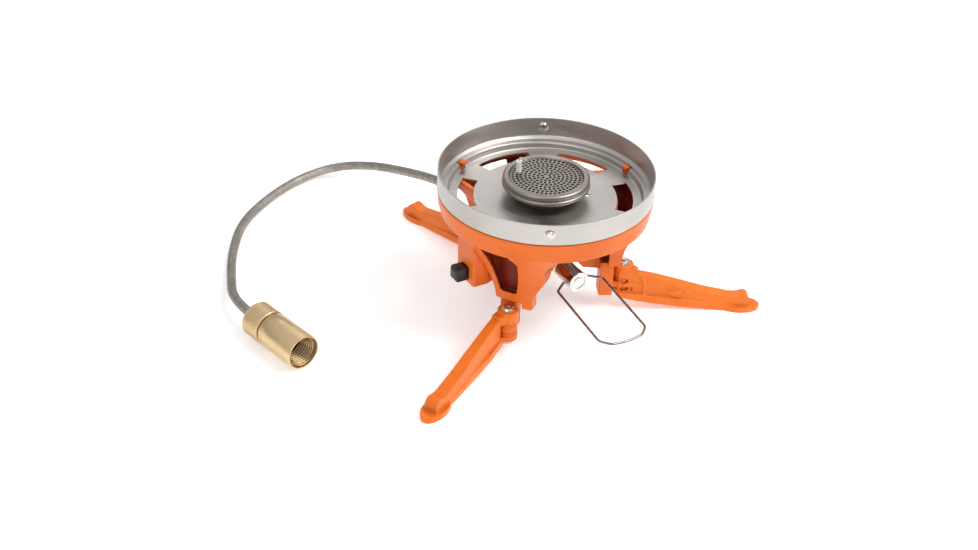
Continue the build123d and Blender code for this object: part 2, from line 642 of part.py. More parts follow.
def coupling_ring(name, profile):
    """A turned coupling piece from its (radius, distance along) outline."""
    with BuildPart() as turned:
        with BuildSketch(Plane(origin=coupling_back, x_dir=(0, 0, 1),
                               z_dir=Vector(0, 0, 1).cross(coupling_dir))):
            Polygon(*profile, align=None)
        revolve(axis=Axis(coupling_back, coupling_dir))
    save(name, turned)
    return turned


THREAD_R, TAIL_R = 8.7, 4.0   # crest radius of the thread, radius of the hose tail
SLEEVE_R = COUPLING_R - 0.2
coupling_ring("coupling_tail", [
    (0, -4), (TAIL_R, -4), (TAIL_R, 15.6), (7.0, 15.6), (7.0, 19), (3.0, 19), (3.0, 22),
    (0.8, 22), (0.8, 26), (0, 26)])
coupling_ring("coupling_seal", [(3.05, 19), (5.4, 19), (5.4, 21), (3.05, 21)])
coupling_ring("coupling_collar", [
    (TAIL_R + FIT, 0), (COUPLING_R - 0.6, 0), (COUPLING_R, 0.6), (COUPLING_R, 13.4),
    (COUPLING_R - 0.6, 14), (TAIL_R + FIT, 14)])
coupling_ring("coupling_sleeve", [
    (TAIL_R + FIT, 14), (SLEEVE_R - 1, 14), (SLEEVE_R - 1, 15.4), (SLEEVE_R, 15.6),
    (SLEEVE_R, COUPLING_L - 0.6), (SLEEVE_R - 0.6, COUPLING_L), (THREAD_R, COUPLING_L),
    (THREAD_R, COUPLING_L - 15), (9.4, COUPLING_L - 15), (9.4, 15.5), (TAIL_R + FIT, 15.5)])
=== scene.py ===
"""Looks of the remote canister stove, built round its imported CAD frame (metres, +Z up)."""
import json
import math

import bmesh
import bpy
from mathutils import Matrix, Vector


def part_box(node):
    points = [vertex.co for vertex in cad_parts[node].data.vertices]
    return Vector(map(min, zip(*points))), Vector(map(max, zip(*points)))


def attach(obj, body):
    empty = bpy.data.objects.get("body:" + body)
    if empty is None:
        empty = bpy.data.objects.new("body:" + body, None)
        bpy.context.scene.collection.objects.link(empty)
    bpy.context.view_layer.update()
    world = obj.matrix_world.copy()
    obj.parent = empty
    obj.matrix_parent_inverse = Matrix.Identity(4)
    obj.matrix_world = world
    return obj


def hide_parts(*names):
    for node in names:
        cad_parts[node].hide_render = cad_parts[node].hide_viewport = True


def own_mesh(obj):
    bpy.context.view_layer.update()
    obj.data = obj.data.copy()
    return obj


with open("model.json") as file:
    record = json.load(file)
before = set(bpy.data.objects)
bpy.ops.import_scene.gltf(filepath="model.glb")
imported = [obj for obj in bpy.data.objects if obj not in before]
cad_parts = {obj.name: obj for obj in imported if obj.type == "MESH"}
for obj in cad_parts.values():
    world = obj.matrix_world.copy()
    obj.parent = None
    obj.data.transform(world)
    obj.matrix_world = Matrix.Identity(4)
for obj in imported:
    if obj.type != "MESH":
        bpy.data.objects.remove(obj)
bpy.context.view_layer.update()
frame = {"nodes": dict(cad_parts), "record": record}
record = frame["record"]
MM = 0.001
Z = Vector((0, 0, 1))

joints = {joint["name"]: joint for joint in record["behaviour"]["joints"]}
mounts = {mount["name"]: mount for mount in record["mounts"]}
slot_of = {entry["node"]: entry["material_slot"] for entry in record["subparts"]}
body_of = {node: body for body, nodes in record["behaviour"]["bodies"].items() for node in nodes}


# ---- camera: a long lens, 34 degrees above the table ------------------------
ELEVATION, ROLL, TURN = math.radians(33.68), math.radians(2.18), math.radians(-31)
DISTANCE, ASIDE, ABOVE, LENS = 0.930, -0.0314, 0.0163, 55.2

back = Vector((0, -math.cos(ELEVATION), math.sin(ELEVATION)))
right = Vector((1, 0, 0))
up = Vector((0, math.sin(ELEVATION), math.cos(ELEVATION)))
place = back * DISTANCE + right * ASIDE + up * ABOVE
rolled_right = right * math.cos(ROLL) + up * math.sin(ROLL)
rolled_up = up * math.cos(ROLL) - right * math.sin(ROLL)

camera = bpy.data.objects.new("camera", bpy.data.cameras.new("camera"))
camera.data.lens = LENS
camera.data.sensor_width = 36
camera.data.clip_start = 0.05
bpy.context.scene.collection.objects.link(camera)
axes = Matrix((rolled_right, rolled_up, back)).transposed()
camera.matrix_world = (Matrix.Rotation(TURN, 4, "Z")
                       @ Matrix.Translation(place) @ axes.to_4x4())
bpy.context.scene.camera = camera


# ---- hose line ---------------------------------------------------------------
HOSE_R = 2.9 * MM
swivel = joints["coupling_swivel"]
coupling_back, coupling_dir = Vector(swivel["pos_m"]), Vector(swivel["axis"]).normalized()
INLET_AZ, INLET_Z = math.radians(130), 42 * MM


def off_axis(radius):
    """A point on the inlet's own line, this far from the burner axis."""
    return Vector((radius * math.cos(INLET_AZ), radius * math.sin(INLET_AZ), INLET_Z))


ROUTE = [
    off_axis(28 * MM), off_axis(52 * MM), (-0.0351, 0.0636, 0.045), (-0.0214, 0.0852, 0.0473),
    (-0.0207, 0.1095, 0.0391), (-0.0214, 0.136, 0.0294), (-0.0267, 0.1749, 0.016),
    (-0.0445, 0.1981, 0.0086), (-0.072, 0.2026, 0.003), (-0.1032, 0.1863, 0.0031),
    (-0.130, 0.1648, 0.003), (-0.1492, 0.1328, 0.0031), (-0.1605, 0.1054, 0.0044),
    coupling_back - coupling_dir * 24 * MM, coupling_back - coupling_dir * 4 * MM,
]
hose_curve = bpy.data.curves.new("hose_core", "CURVE")
hose_curve.dimensions = "3D"
spline = hose_curve.splines.new("NURBS")
spline.points.add(len(ROUTE) - 1)
for control, point in zip(spline.points, ROUTE):
    control.co = (*point, 1)
spline.order_u = 3
spline.use_endpoint_u = True
hose_curve.resolution_u = 32
hose_core = bpy.data.objects.new("hose_core", hose_curve)
bpy.context.scene.collection.objects.link(hose_core)


# ---- mesh helpers --------------------------------------------------------------
WELD, BROKEN_EDGE = 0.001 * MM, 0.15 * MM           # joining distance, bevel of a machined edge


def add_object(name, mesh):
    piece = bpy.data.objects.new(name, mesh)
    bpy.context.scene.collection.objects.link(piece)
    return piece


def smooth(piece, angle=35):
    """Smooth shading, kept sharp where faces meet more steeply than this."""
    piece.data.shade_smooth()
    piece.data.set_sharp_from_angle(angle=math.radians(angle))
    return piece


def grid(name, rows, closed_across=True, closed_along=True, uv_scale=(1.0, 1.0)):
    """A mesh through rows of points; each row runs across, and rows follow each other along."""
    across, along = len(rows[0]), len(rows)
    points = [tuple(p) for row in rows for p in row]
    faces, uvs = [], []
    for j in range(along if closed_along else along - 1):
        for i in range(across if closed_across else across - 1):
            i2, j2 = (i + 1) % across, (j + 1) % along
            faces.append((j * across + i, j * across + i2, j2 * across + i2, j2 * across + i))
            uvs += [(i, j), (i + 1, j), (i + 1, j + 1), (i, j + 1)]
    mesh = bpy.data.meshes.new(name)
    mesh.from_pydata(points, [], faces)
    layer = mesh.uv_layers.new(name="UVMap")
    for loop, (u, v) in zip(layer.data, uvs):
        loop.uv = (u * uv_scale[0], v * uv_scale[1])
    mesh.update()
    return mesh


def arc_corner(before, corner, after, radius, steps):
    """Points of a round corner between two straight runs of a flat outline."""
    a, c, b = Vector(before), Vector(corner), Vector(after)
    to_a, to_b = (a - c).normalized(), (b - c).normalized()
    half = to_a.angle(to_b) / 2
    if radius <= 0 or half > math.radians(88):
        return [tuple(c)]
    reach = min(radius / math.tan(half), 0.48 * (a - c).length, 0.48 * (b - c).length)
    start, end = c + to_a * reach, c + to_b * reach
    points = []
    for k in range(steps + 1):
        t = k / steps
        points.append(tuple(start * (1 - t) ** 2 + c * 2 * t * (1 - t) + end * t * t))
    return points


def rounded(outline, steps=6):
    """A closed flat outline of (x, y, corner radius) as points."""
    points = []
    for k, (x, y, radius) in enumerate(outline):
        before, after = outline[k - 1][:2], outline[(k + 1) % len(outline)][:2]
        points += arc_corner(before, (x, y), after, radius, steps)
    return points


def lathe(name, outline, segments=128, place=Matrix.Identity(4)):
    """A turned mesh from a closed (radius, height) outline, about local Z."""
    rows = []
    for radius, height in outline:
        rows.append([place @ Vector((radius * math.cos(2 * math.pi * k / segments),
                                     radius * math.sin(2 * math.pi * k / segments), height))
                     for k in range(segments)])
    mesh = grid(name, rows, uv_scale=(1 / segments, 1 / len(outline)))
    shape = bmesh.new()
    shape.from_mesh(mesh)
    bmesh.ops.remove_doubles(shape, verts=shape.verts, dist=WELD)
    bmesh.ops.recalc_face_normals(shape, faces=shape.faces)
    shape.to_mesh(mesh)
    shape.free()
    return mesh


def prism(name, outline, low, high, place=Matrix.Identity(4)):
    """A straight prism from a flat outline, between two heights of a local frame."""
    shape = bmesh.new()
    rings = [[shape.verts.new(place @ Vector((x, y, z))) for x, y in outline] for z in (low, high)]
    shape.faces.new(rings[0])
    shape.faces.new(rings[1])
    count = len(outline)
    for k in range(count):
        shape.faces.new((rings[0][k], rings[0][(k + 1) % count],
                         rings[1][(k + 1) % count], rings[1][k]))
    bmesh.ops.recalc_face_normals(shape, faces=shape.faces)
    mesh = bpy.data.meshes.new(name)
    shape.to_mesh(mesh)
    shape.free()
    return mesh


def merged(name, meshes):
    """Several meshes as one."""
    shape = bmesh.new()
    for mesh in meshes:
        shape.from_mesh(mesh)
    result = bpy.data.meshes.new(name)
    shape.to_mesh(result)
    shape.free()
    return result


def settled(piece):
    """Apply a piece's modifiers to its mesh."""
    bpy.context.view_layer.update()
    shown = piece.evaluated_get(bpy.context.evaluated_depsgraph_get())
    mesh = bpy.data.meshes.new_from_object(shown)
    piece.modifiers.clear()
    piece.data = mesh


def cut(piece, tools):
    """Take tool meshes away from a piece."""
    cutter = add_object("cutter", merged("cutter", tools))
    step = piece.modifiers.new("cut", "BOOLEAN")
    step.operation, step.solver, step.object = "DIFFERENCE", "EXACT", cutter
    step.use_self = True
    settled(piece)
    bpy.data.objects.remove(cutter)


def moulded(node, voxel, passes, extras=()):
    """A CAD piece again as a moulding, with its edges softened, and with raised details added."""
    mesh = merged(node + "_moulding", [frame["nodes"][node].data, *extras])
    piece = add_object(node + "_moulding", mesh)
    remesh = piece.modifiers.new("remesh", "REMESH")
    remesh.mode, remesh.voxel_size = "VOXEL", voxel
    soften = piece.modifiers.new("soften", "SMOOTH")
    soften.factor, soften.iterations = 0.5, passes
    settled(piece)
    piece.data.shade_smooth()
    return piece


def machined(node):
    """A CAD piece again with its edges broken by a small bevel."""
    piece = add_object(node + "_machined", frame["nodes"][node].data.copy())
    shape = bmesh.new()
    shape.from_mesh(piece.data)
    bmesh.ops.remove_doubles(shape, verts=shape.verts, dist=WELD)
    bmesh.ops.dissolve_limit(shape, angle_limit=math.radians(0.5), verts=shape.verts,
                             edges=shape.edges)
    shape.to_mesh(piece.data)
    shape.free()
    bevel = piece.modifiers.new("bevel", "BEVEL")
    bevel.width, bevel.segments, bevel.limit_method = BROKEN_EDGE, 2, "ANGLE"
    bevel.angle_limit = math.radians(40)
    bevel.use_clamp_overlap = True
    settled(piece)
    return smooth(piece, 30)


# ---- materials -------------------------------------------------------------------
class Finish:
    """A Principled material with short ways to wire nodes into it."""

    def __init__(self, name, colour, rough, metallic=0.0, **sockets):
        self.material = bpy.data.materials.new(name)
        self.material.use_nodes = True
        self.tree = self.material.node_tree
        self.surface = self.tree.nodes["Principled BSDF"]
        self.set("Base Color", (*colour, 1))
        self.set("Roughness", rough)
        self.set("Metallic", metallic)
        for socket, value in sockets.items():
            self.set(socket.replace("_", " "), value)

    def set(self, socket, value):
        self.surface.inputs[socket].default_value = value

    def node(self, kind, **values):
        made = self.tree.nodes.new("ShaderNode" + kind)
        for key, value in values.items():
            setattr(made, key, value)
        return made

    def link(self, source, target):
        self.tree.links.new(source, target)

    def math(self, operation, a, b=0.0):
        made = self.node("Math", operation=operation)
        for socket, value in zip(made.inputs, (a, b)):
            if isinstance(value, (int, float)):
                socket.default_value = value
            else:
                self.link(value, socket)
        return made.outputs[0]

    def place(self):
        """The point on the object, in metres."""
        return self.node("TexCoord").outputs["Object"]

    def noise(self, scale, detail=3.0, vector=None):
        made = self.node("TexNoise")
        made.inputs["Scale"].default_value = scale
        made.inputs["Detail"].default_value = detail
        self.link(vector or self.place(), made.inputs["Vector"])
        return made.outputs["Fac"]

    def between(self, factor, low, high, from_low=0.3, from_high=0.7):
        """factor, stretched from its own range to low..high."""
        made = self.node("MapRange")
        for socket, value in (("From Min", from_low), ("From Max", from_high),
                              ("To Min", low), ("To Max", high)):
            made.inputs[socket].default_value = value
        self.link(factor, made.inputs["Value"])
        return made.outputs[0]

    def tint(self, factor, dark, light):
        """A colour between dark and light, by a noise's usual range."""
        made = self.node("ValToRGB")
        made.color_ramp.elements[0].position, made.color_ramp.elements[1].position = 0.3, 0.7
        made.color_ramp.elements[0].color = (*dark, 1)
        made.color_ramp.elements[1].color = (*light, 1)
        self.link(factor, made.inputs["Fac"])
        return made.outputs["Color"]

    def blend(self, factor, a, b):
        """Mix colour a towards colour b, each a socket or three numbers."""
        made = self.node("Mix", data_type="RGBA")
        for socket, value in ((made.inputs["Factor"], factor), (made.inputs["A"], a),
                              (made.inputs["B"], b)):
            if isinstance(value, tuple):
                socket.default_value = (*value, 1)
            elif isinstance(value, (int, float)):
                socket.default_value = value
            else:
                self.link(value, socket)
        return made.outputs["Result"]

    def colour(self, socket):
        self.link(socket, self.surface.inputs["Base Color"])

    def rough(self, socket):
        self.link(socket, self.surface.inputs["Roughness"])

    def bump(self, height, strength, depth):
        made = self.node("Bump")
        made.inputs["Strength"].default_value = strength
        made.inputs["Distance"].default_value = depth
        self.link(height, made.inputs["Height"])
        self.link(made.outputs["Normal"], self.surface.inputs["Normal"])

    def round_grain(self):
        """A vector that runs with a piece turned or brushed about Z: radius, height, slow angle."""
        parts = self.node("SeparateXYZ")
        self.link(self.place(), parts.inputs[0])
        x, y, z = parts.outputs
        squares = self.math("ADD", self.math("MULTIPLY", x, x), self.math("MULTIPLY", y, y))
        joined = self.node("CombineXYZ")
        self.link(self.math("SQRT", squares), joined.inputs[0])
        self.link(z, joined.inputs[1])
        self.link(self.math("MULTIPLY", self.math("ARCTAN2", y, x), 0.0012), joined.inputs[2])
        return joined.outputs[0]


def brushed(name, dark, light, rough):
    """Stainless sheet: fine brushing, faint handling marks and uneven polish."""
    finish = Finish(name, light, rough, metallic=1.0)
    grain_line = finish.round_grain()
    grain = finish.noise(2600, 2.0, grain_line)
    broad = finish.noise(700, 2.0, grain_line)
    patches = finish.noise(38, 4.0)
    mixed = finish.math("ADD", finish.math("MULTIPLY", grain, 0.2),
                        finish.math("MULTIPLY", patches, 0.8))
    finish.colour(finish.tint(mixed, dark, light))
    spread = finish.math("ADD", finish.math("MULTIPLY", broad, 0.5),
                         finish.math("MULTIPLY", patches, 0.5))
    finish.rough(finish.between(spread, rough * 0.75, rough * 1.35, 0.3, 0.75))
    finish.bump(grain, 0.10, 0.00003)
    return finish.material


def orange(name, dark, light, rough):
    """Glass-filled nylon moulding: fine texture and flow marks, painted deep red shade in its hollows.
    """
    finish = Finish(name, light, rough, Subsurface_Weight=0.08, Subsurface_Scale=0.0012,
                    IOR=1.5, Specular_IOR_Level=0.3)
    finish.surface.inputs["Subsurface Radius"].default_value = (1.0, 0.35, 0.12)
    body = finish.tint(finish.noise(30, 3.0), dark, light)
    # painted shade: an ambient-occlusion node darkens the colour towards deep red where the piece's
    # own walls enclose it
    hollow = finish.node("AmbientOcclusion", samples=6, only_local=True)
    hollow.inputs["Distance"].default_value = 0.035
    shade = finish.between(hollow.outputs["AO"], 0.85, 0, 0.35, 0.85)
    finish.colour(finish.blend(shade, body, (0.20, 0.012, 0.004)))
    finish.rough(finish.between(finish.noise(260, 4.0), rough * 0.85, rough * 1.2))
    finish.bump(finish.noise(3200, 2.0), 0.14, 0.00005)
    return finish.material


def turned_metal(name, dark, light, rough):
    """Turned brass or alloy: lathe lines round the piece, darker where it is handled."""
    finish = Finish(name, light, rough, metallic=1.0)
    uv = finish.node("TexCoord").outputs["UV"]
    stretch = finish.node("Mapping")
    stretch.inputs["Scale"].default_value = (0.6, 60, 1)
    finish.link(uv, stretch.inputs["Vector"])
    lines = finish.noise(6, 3.0, stretch.outputs[0])
    patches = finish.noise(60, 4.0)
    specks = finish.noise(1100, 2.0)
    mixed = finish.math("ADD", finish.math("MULTIPLY", lines, 0.4),
                        finish.math("MULTIPLY", patches, 0.6))
    finish.colour(finish.tint(mixed, dark, light))
    finish.rough(finish.between(patches, rough * 0.8, rough * 1.4))
    finish.bump(finish.math("ADD", lines, finish.math("MULTIPLY", specks, 0.4)), 0.12, 0.00005)
    return finish.material


def plain_metal(name, dark, light, rough, scale=300):
    """Polished or plated metal with faint drawing marks and smudges."""
    finish = Finish(name, light, rough, metallic=1.0)
    smudges = finish.noise(scale, 4.0)
    finish.colour(finish.tint(smudges, dark, light))
    finish.rough(finish.between(smudges, rough * 0.7, rough * 1.5))
    finish.bump(finish.noise(2200, 2.0), 0.08, 0.00004)
    return finish.material


def compound(name, dark, light, rough):
    """Rubber, black plastic or ceramic: a fine skin over an uneven tone."""
    finish = Finish(name, light, rough)
    finish.colour(finish.tint(finish.noise(120, 3.0), dark, light))
    finish.rough(finish.between(finish.noise(900, 3.0), rough * 0.85, rough * 1.2))
    finish.bump(finish.noise(2700, 2.0), 0.14, 0.00005)
    return finish.material


def braid_wire():
    """Stainless braid: five wires side by side in each ribbon, painted shade between them."""
    finish = Finish("braid", (0.40, 0.38, 0.355), 0.36, metallic=1.0)
    uv = finish.node("SeparateXYZ")
    finish.link(finish.node("TexCoord").outputs["UV"], uv.inputs[0])
    wires = finish.math("ABSOLUTE", finish.math("SINE", finish.math("MULTIPLY", uv.outputs[0],
                                                                   5 * math.pi)))
    tone = finish.tint(finish.noise(220, 3.0), (0.31, 0.28, 0.245), (0.47, 0.43, 0.385))
    # painted shade: the colour goes dark in the creases between the wires
    finish.colour(finish.blend(finish.between(wires, 0.65, 0.0, 0.0, 0.5), tone,
                               (0.10, 0.095, 0.09)))
    finish.rough(finish.between(finish.noise(900, 2.0), 0.28, 0.46))
    finish.bump(wires, 0.5, 0.00008)
    return finish.material


finishes = {
    "steel_sheet": brushed("steel_sheet", (0.46, 0.435, 0.41), (0.57, 0.545, 0.52), 0.42),
    "burner_steel": brushed("burner_steel", (0.26, 0.232, 0.205), (0.39, 0.355, 0.32), 0.38),
    "bright_steel": plain_metal("bright_steel", (0.58, 0.57, 0.56), (0.76, 0.75, 0.745), 0.13),
    "hardware": plain_metal("hardware", (0.50, 0.46, 0.41), (0.74, 0.71, 0.67), 0.22),
    "orange_plastic": orange("orange_plastic", (0.69, 0.128, 0.010), (0.77, 0.158, 0.013), 0.36),
    "black_plastic": compound("black_plastic", (0.010, 0.010, 0.011), (0.028, 0.027, 0.027), 0.42),
    "bush_plastic": orange("bush_plastic", (0.62, 0.11, 0.010), (0.70, 0.14, 0.013), 0.40),
    "brass": turned_metal("brass", (0.64, 0.46, 0.255), (0.78, 0.59, 0.35), 0.38),
    "alloy": plain_metal("alloy", (0.34, 0.34, 0.345), (0.52, 0.52, 0.53), 0.38, 150),
    "rubber": compound("rubber", (0.012, 0.012, 0.013), (0.03, 0.03, 0.03), 0.6),
    "ceramic": compound("ceramic", (0.80, 0.78, 0.73), (0.88, 0.87, 0.84), 0.18),
    "braid": braid_wire(),
}
# painted shade and reflection: a dark, warm copy of the bright steel for the wire bail, for the darker
# surroundings it reflects
bail_steel = plain_metal("bail_steel", (0.22, 0.20, 0.18), (0.34, 0.31, 0.285), 0.22)
# painted shade: a darker copy of the brass, for the shaded bore and thread grooves of the sleeve
painted_shade_brass = turned_metal("painted_shade_brass", (0.20, 0.11, 0.05), (0.34, 0.21, 0.10), 0.36)
# painted shade: a dark red copy of the orange plastic, for the inner walls of the pillars' hollows
# where shade falls
painted_shade_orange = orange("painted_shade_orange", (0.17, 0.012, 0.004), (0.24, 0.022, 0.006), 0.5)
# painted light: a lighter, yellower copy of the orange plastic for the legs, for the light that passes
# through them
leg_orange = orange("leg_orange", (0.72, 0.145, 0.008), (0.80, 0.180, 0.011), 0.30)


def stand_for(piece, node, finish=None):
    """Put a made piece in the place of a CAD node, on its body and in its material."""
    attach(piece, body_of[node])
    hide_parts(node)
    piece.data.materials.clear()
    piece.data.materials.append(finish or finishes[slot_of[node]])
    return piece


for node, piece in frame["nodes"].items():
    piece.data.materials.clear()
    piece.data.materials.append(finishes[slot_of[node]])
    smooth(piece, 30)


# painted shade and reflection: the wire bail takes the darker copy of the bright steel
frame["nodes"]["wire_bail"].data.materials[0] = bail_steel


# ---- braided hose -----------------------------------------------------------------
BRAID_TURN, STRANDS, WEAVE = 18.2 * MM, 16, 0.06 * MM
BRAID_R, RIBBON = 2.83 * MM, 0.77 * MM

line = bpy.data.meshes.new_from_object(
    hose_core.evaluated_get(bpy.context.evaluated_depsgraph_get()))
centre = [v.co.copy() for v in line.vertices]
run = [0.0]
for a, b in zip(centre, centre[1:]):
    run.append(run[-1] + (b - a).length)
hose_length = run[-1]


def stations(step):
    """Evenly spaced (distance, point, side, other side) along the hose's centre line."""
    found, k, side = [], 0, None
    count = int(hose_length / step)
    for i in range(count + 1):
        s = hose_length * i / count
        while k < len(run) - 2 and run[k + 1] < s:
            k += 1
        t = (s - run[k]) / (run[k + 1] - run[k])
        forward = (centre[k + 1] - centre[k]).normalized()
        side = side or Z.cross(forward).normalized()
        side = (side - forward * side.dot(forward)).normalized()
        found.append((s, centre[k].lerp(centre[k + 1], t), side, forward.cross(side)))
    return found


steps = stations(BRAID_TURN / (4 * STRANDS))
ribbons = []
for way in (1, -1):
    for strand in range(STRANDS):
        rows = []
        for s, point, side, other in steps:
            lift = way * WEAVE * math.cos(2 * math.pi * STRANDS * s / BRAID_TURN)
            row = []
            for across, crown in ((-1, -0.09), (0, 0.03), (1, -0.09)):
                angle = (way * 2 * math.pi * s / BRAID_TURN + 2 * math.pi * strand / STRANDS
                         + across * RIBBON * 0.707 / BRAID_R)
                radius = BRAID_R + lift + crown * MM
                row.append(point + side * (radius * math.cos(angle))
                           + other * (radius * math.sin(angle)))
            rows.append(row)
        ribbons.append(grid("ribbon", rows, closed_across=False, closed_along=False,
                            uv_scale=(0.5, 1)))
braid = smooth(add_object("hose_braid", merged("hose_braid", ribbons)), 80)
braid.data.materials.append(finishes["braid"])
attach(braid, "stove")

hose_curve.bevel_depth = HOSE_R * 0.93
hose_curve.bevel_resolution = 6
hose_curve.materials.append(compound("hose_rubber", (0.05, 0.048, 0.045), (0.10, 0.097, 0.09), 0.6))
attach(hose_core, "stove")
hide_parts("hose")


# ---- brass coupling -----------------------------------------------------------------
coupling_turn = Z.rotation_difference(coupling_dir).to_matrix().to_4x4()
coupling_frame = Matrix.Translation(coupling_back) @ coupling_turn
COLLAR_R, COLLAR_L, BORE_R = 10.9 * MM, 14 * MM, 4.05 * MM
KNURLS, KNURL_LEAD, KNURL_DEEP = 64, 1.15 * MM, 0.26 * MM
SLEEVE_R, MOUTH_S, THREAD_END, CREST_R = 10.7 * MM, 45.7 * MM, 30.7 * MM, 8.9 * MM
THREAD_PITCH, THREAD_DEEP = 1.8 * MM, 0.8 * MM


def saw(x):
    """A triangle wave from 0 to 1."""
    return abs((x % 1.0) * 2 - 1)


def turned_rows(outline, segments, radius_at):
    """Rows for grid from (radius, along) points; radius_at adjusts each point's radius."""
    rows = []
    for radius, along in outline:
        row = []
        for k in range(segments):
            turn = k / segments
            r = radius_at(radius, along, turn)
            row.append(coupling_frame @ Vector((r * math.cos(2 * math.pi * turn),
                                                r * math.sin(2 * math.pi * turn), along)))
        rows.append(row)
    return rows


def closed_solid(name, rows):
    mesh = grid(name, rows, uv_scale=(1 / len(rows[0]), 1 / len(rows)))
    shape = bmesh.new()
    shape.from_mesh(mesh)
    bmesh.ops.recalc_face_normals(shape, faces=shape.faces)
    shape.to_mesh(mesh)
    shape.free()
    return mesh


def knurled(radius, along, turn):
    inside = min(along - 1.0 * MM, COLLAR_L - 1.0 * MM - along)
    if radius < COLLAR_R or inside < 0:
        return radius
    crossed = min(saw(turn * KNURLS + along / KNURL_LEAD), saw(turn * KNURLS - along / KNURL_LEAD))
    return radius - KNURL_DEEP * (1 - crossed) * min(1, inside / (0.4 * MM))


collar_outline = [(BORE_R, 0), (COLLAR_R - 0.9 * MM, 0), (COLLAR_R - 0.35 * MM, 0.15 * MM)]
collar_outline += [(COLLAR_R, (0.6 + 0.27 * k) * MM) for k in range(48)]
collar_outline += [(COLLAR_R - 0.35 * MM, COLLAR_L - 0.15 * MM), (COLLAR_R - 0.8 * MM, COLLAR_L),
                   (BORE_R, COLLAR_L)]
collar = smooth(add_object("coupling_collar_knurled", closed_solid(
    "coupling_collar_knurled", turned_rows(collar_outline, 256, knurled))), 50)
stand_for(collar, "coupling_collar")


def threaded(radius, along, turn):
    if radius != CREST_R or along < THREAD_END + 0.2 * MM:
        return radius
    lead_in = min(1.0, max(0.0, (MOUTH_S - 0.8 * MM - along) / (1.2 * MM)))
    groove = saw(along / THREAD_PITCH - turn)
    return radius + THREAD_DEEP * (1 - lead_in * (1 - min(1.0, groove * 1.25)))


sleeve_outline = [(BORE_R, COLLAR_L), (SLEEVE_R - 1 * MM, COLLAR_L), (SLEEVE_R - 1 * MM, 15.3 * MM),
                  (SLEEVE_R - 0.3 * MM, 15.45 * MM), (SLEEVE_R, 15.9 * MM), (SLEEVE_R, 24 * MM),
                  (SLEEVE_R, 33 * MM), (SLEEVE_R, MOUTH_S - 0.7 * MM),
                  (SLEEVE_R - 0.15 * MM, MOUTH_S - 0.2 * MM), (SLEEVE_R - 0.5 * MM, MOUTH_S),
                  (CREST_R + 1.0 * MM, MOUTH_S)]
sleeve_outline += [(CREST_R, MOUTH_S - (0.35 + 0.2 * k) * MM) for k in range(73)]
sleeve_outline += [(9.4 * MM, THREAD_END), (9.4 * MM, 15.6 * MM), (BORE_R, 15.6 * MM)]
sleeve = smooth(add_object("coupling_sleeve_threaded", closed_solid(
    "coupling_sleeve_threaded", turned_rows(sleeve_outline, 128, threaded))), 40)
stand_for(sleeve, "coupling_sleeve")
# painted shade: the bore and the thread's grooves take the darker brass
sleeve.data.materials.append(painted_shade_brass)      # the bore and the thread's grooves stay dark
for face in sleeve.data.polygons:
    offset = face.center - coupling_back
    along = offset.dot(coupling_dir)
    radius = (offset - coupling_dir * along).length
    bore = COLLAR_L < along < THREAD_END and radius < SLEEVE_R - 0.8 * MM
    threads = THREAD_END < along < MOUTH_S - 0.6 * MM
    groove = threads and CREST_R + 0.3 * MM < radius < SLEEVE_R - 0.8 * MM
    face.material_index = int(bore or groove)
tail = stand_for(machined("coupling_tail"), "coupling_tail")


# ---- pot ring: one spun steel sheet --------------------------------------------------
RING_R, SHEET = 64.0 * MM, 1.0 * MM
SEAT_Z, FLOOR_Z, RIM_Z = 82.2 * MM, 78.0 * MM, 96.0 * MM
inner = RING_R - SHEET
ring_outline = rounded([
    (RING_R, 83.3 * MM, 0.3 * MM), (RING_R, RIM_Z, 0.45 * MM), (inner, RIM_Z, 0.45 * MM),
    (inner, 84.0 * MM, 1.5 * MM), (61.2 * MM, SEAT_Z, 1.2 * MM), (57.8 * MM, SEAT_Z, 0.9 * MM),
    (57.2 * MM, 81.0 * MM, 0.9 * MM), (57.2 * MM, FLOOR_Z, 1.2 * MM), (11.2 * MM, FLOOR_Z, 0.2 * MM),
    (11.0 * MM, FLOOR_Z - SHEET, 0.2 * MM), (58.2 * MM, FLOOR_Z - SHEET, 1.2 * MM),
    (58.2 * MM, SEAT_Z - SHEET, 1.0 * MM), (62.2 * MM, SEAT_Z - SHEET, 0.8 * MM),
    (62.3 * MM, 83.3 * MM, 0.1 * MM)])
ring = add_object("pot_ring_sheet", lathe("pot_ring_sheet", ring_outline, 256))


def at_azimuth(degrees, radius, height):
    """A frame on an outward radius: x across, y up, z outward."""
    a = math.radians(degrees)
    out = Vector((math.cos(a), math.sin(a), 0))
    across = Vector((-math.sin(a), math.cos(a), 0))
    turn = Matrix((across, Z, out)).transposed().to_4x4()
    return Matrix.Translation(out * radius + Z * height) @ turn


def arc_slot(start, sweep, r_in, r_out, corner=1.0 * MM, steps=14):
    """A slot between two arcs, with small round corners."""
    outer = [(r_out * math.cos(math.radians(start + sweep * k / steps)),
              r_out * math.sin(math.radians(start + sweep * k / steps))) for k in range(steps + 1)]
    inside = [(r_in * math.cos(math.radians(start + sweep * (1 - k / steps))),
               r_in * math.sin(math.radians(start + sweep * (1 - k / steps))))
              for k in range(steps + 1)]
    soft = {0, steps, steps + 1, 2 * steps + 1}
    points = [(x, y, corner if k in soft else 0) for k, (x, y) in enumerate(outer + inside)]
    return rounded(points, 3)


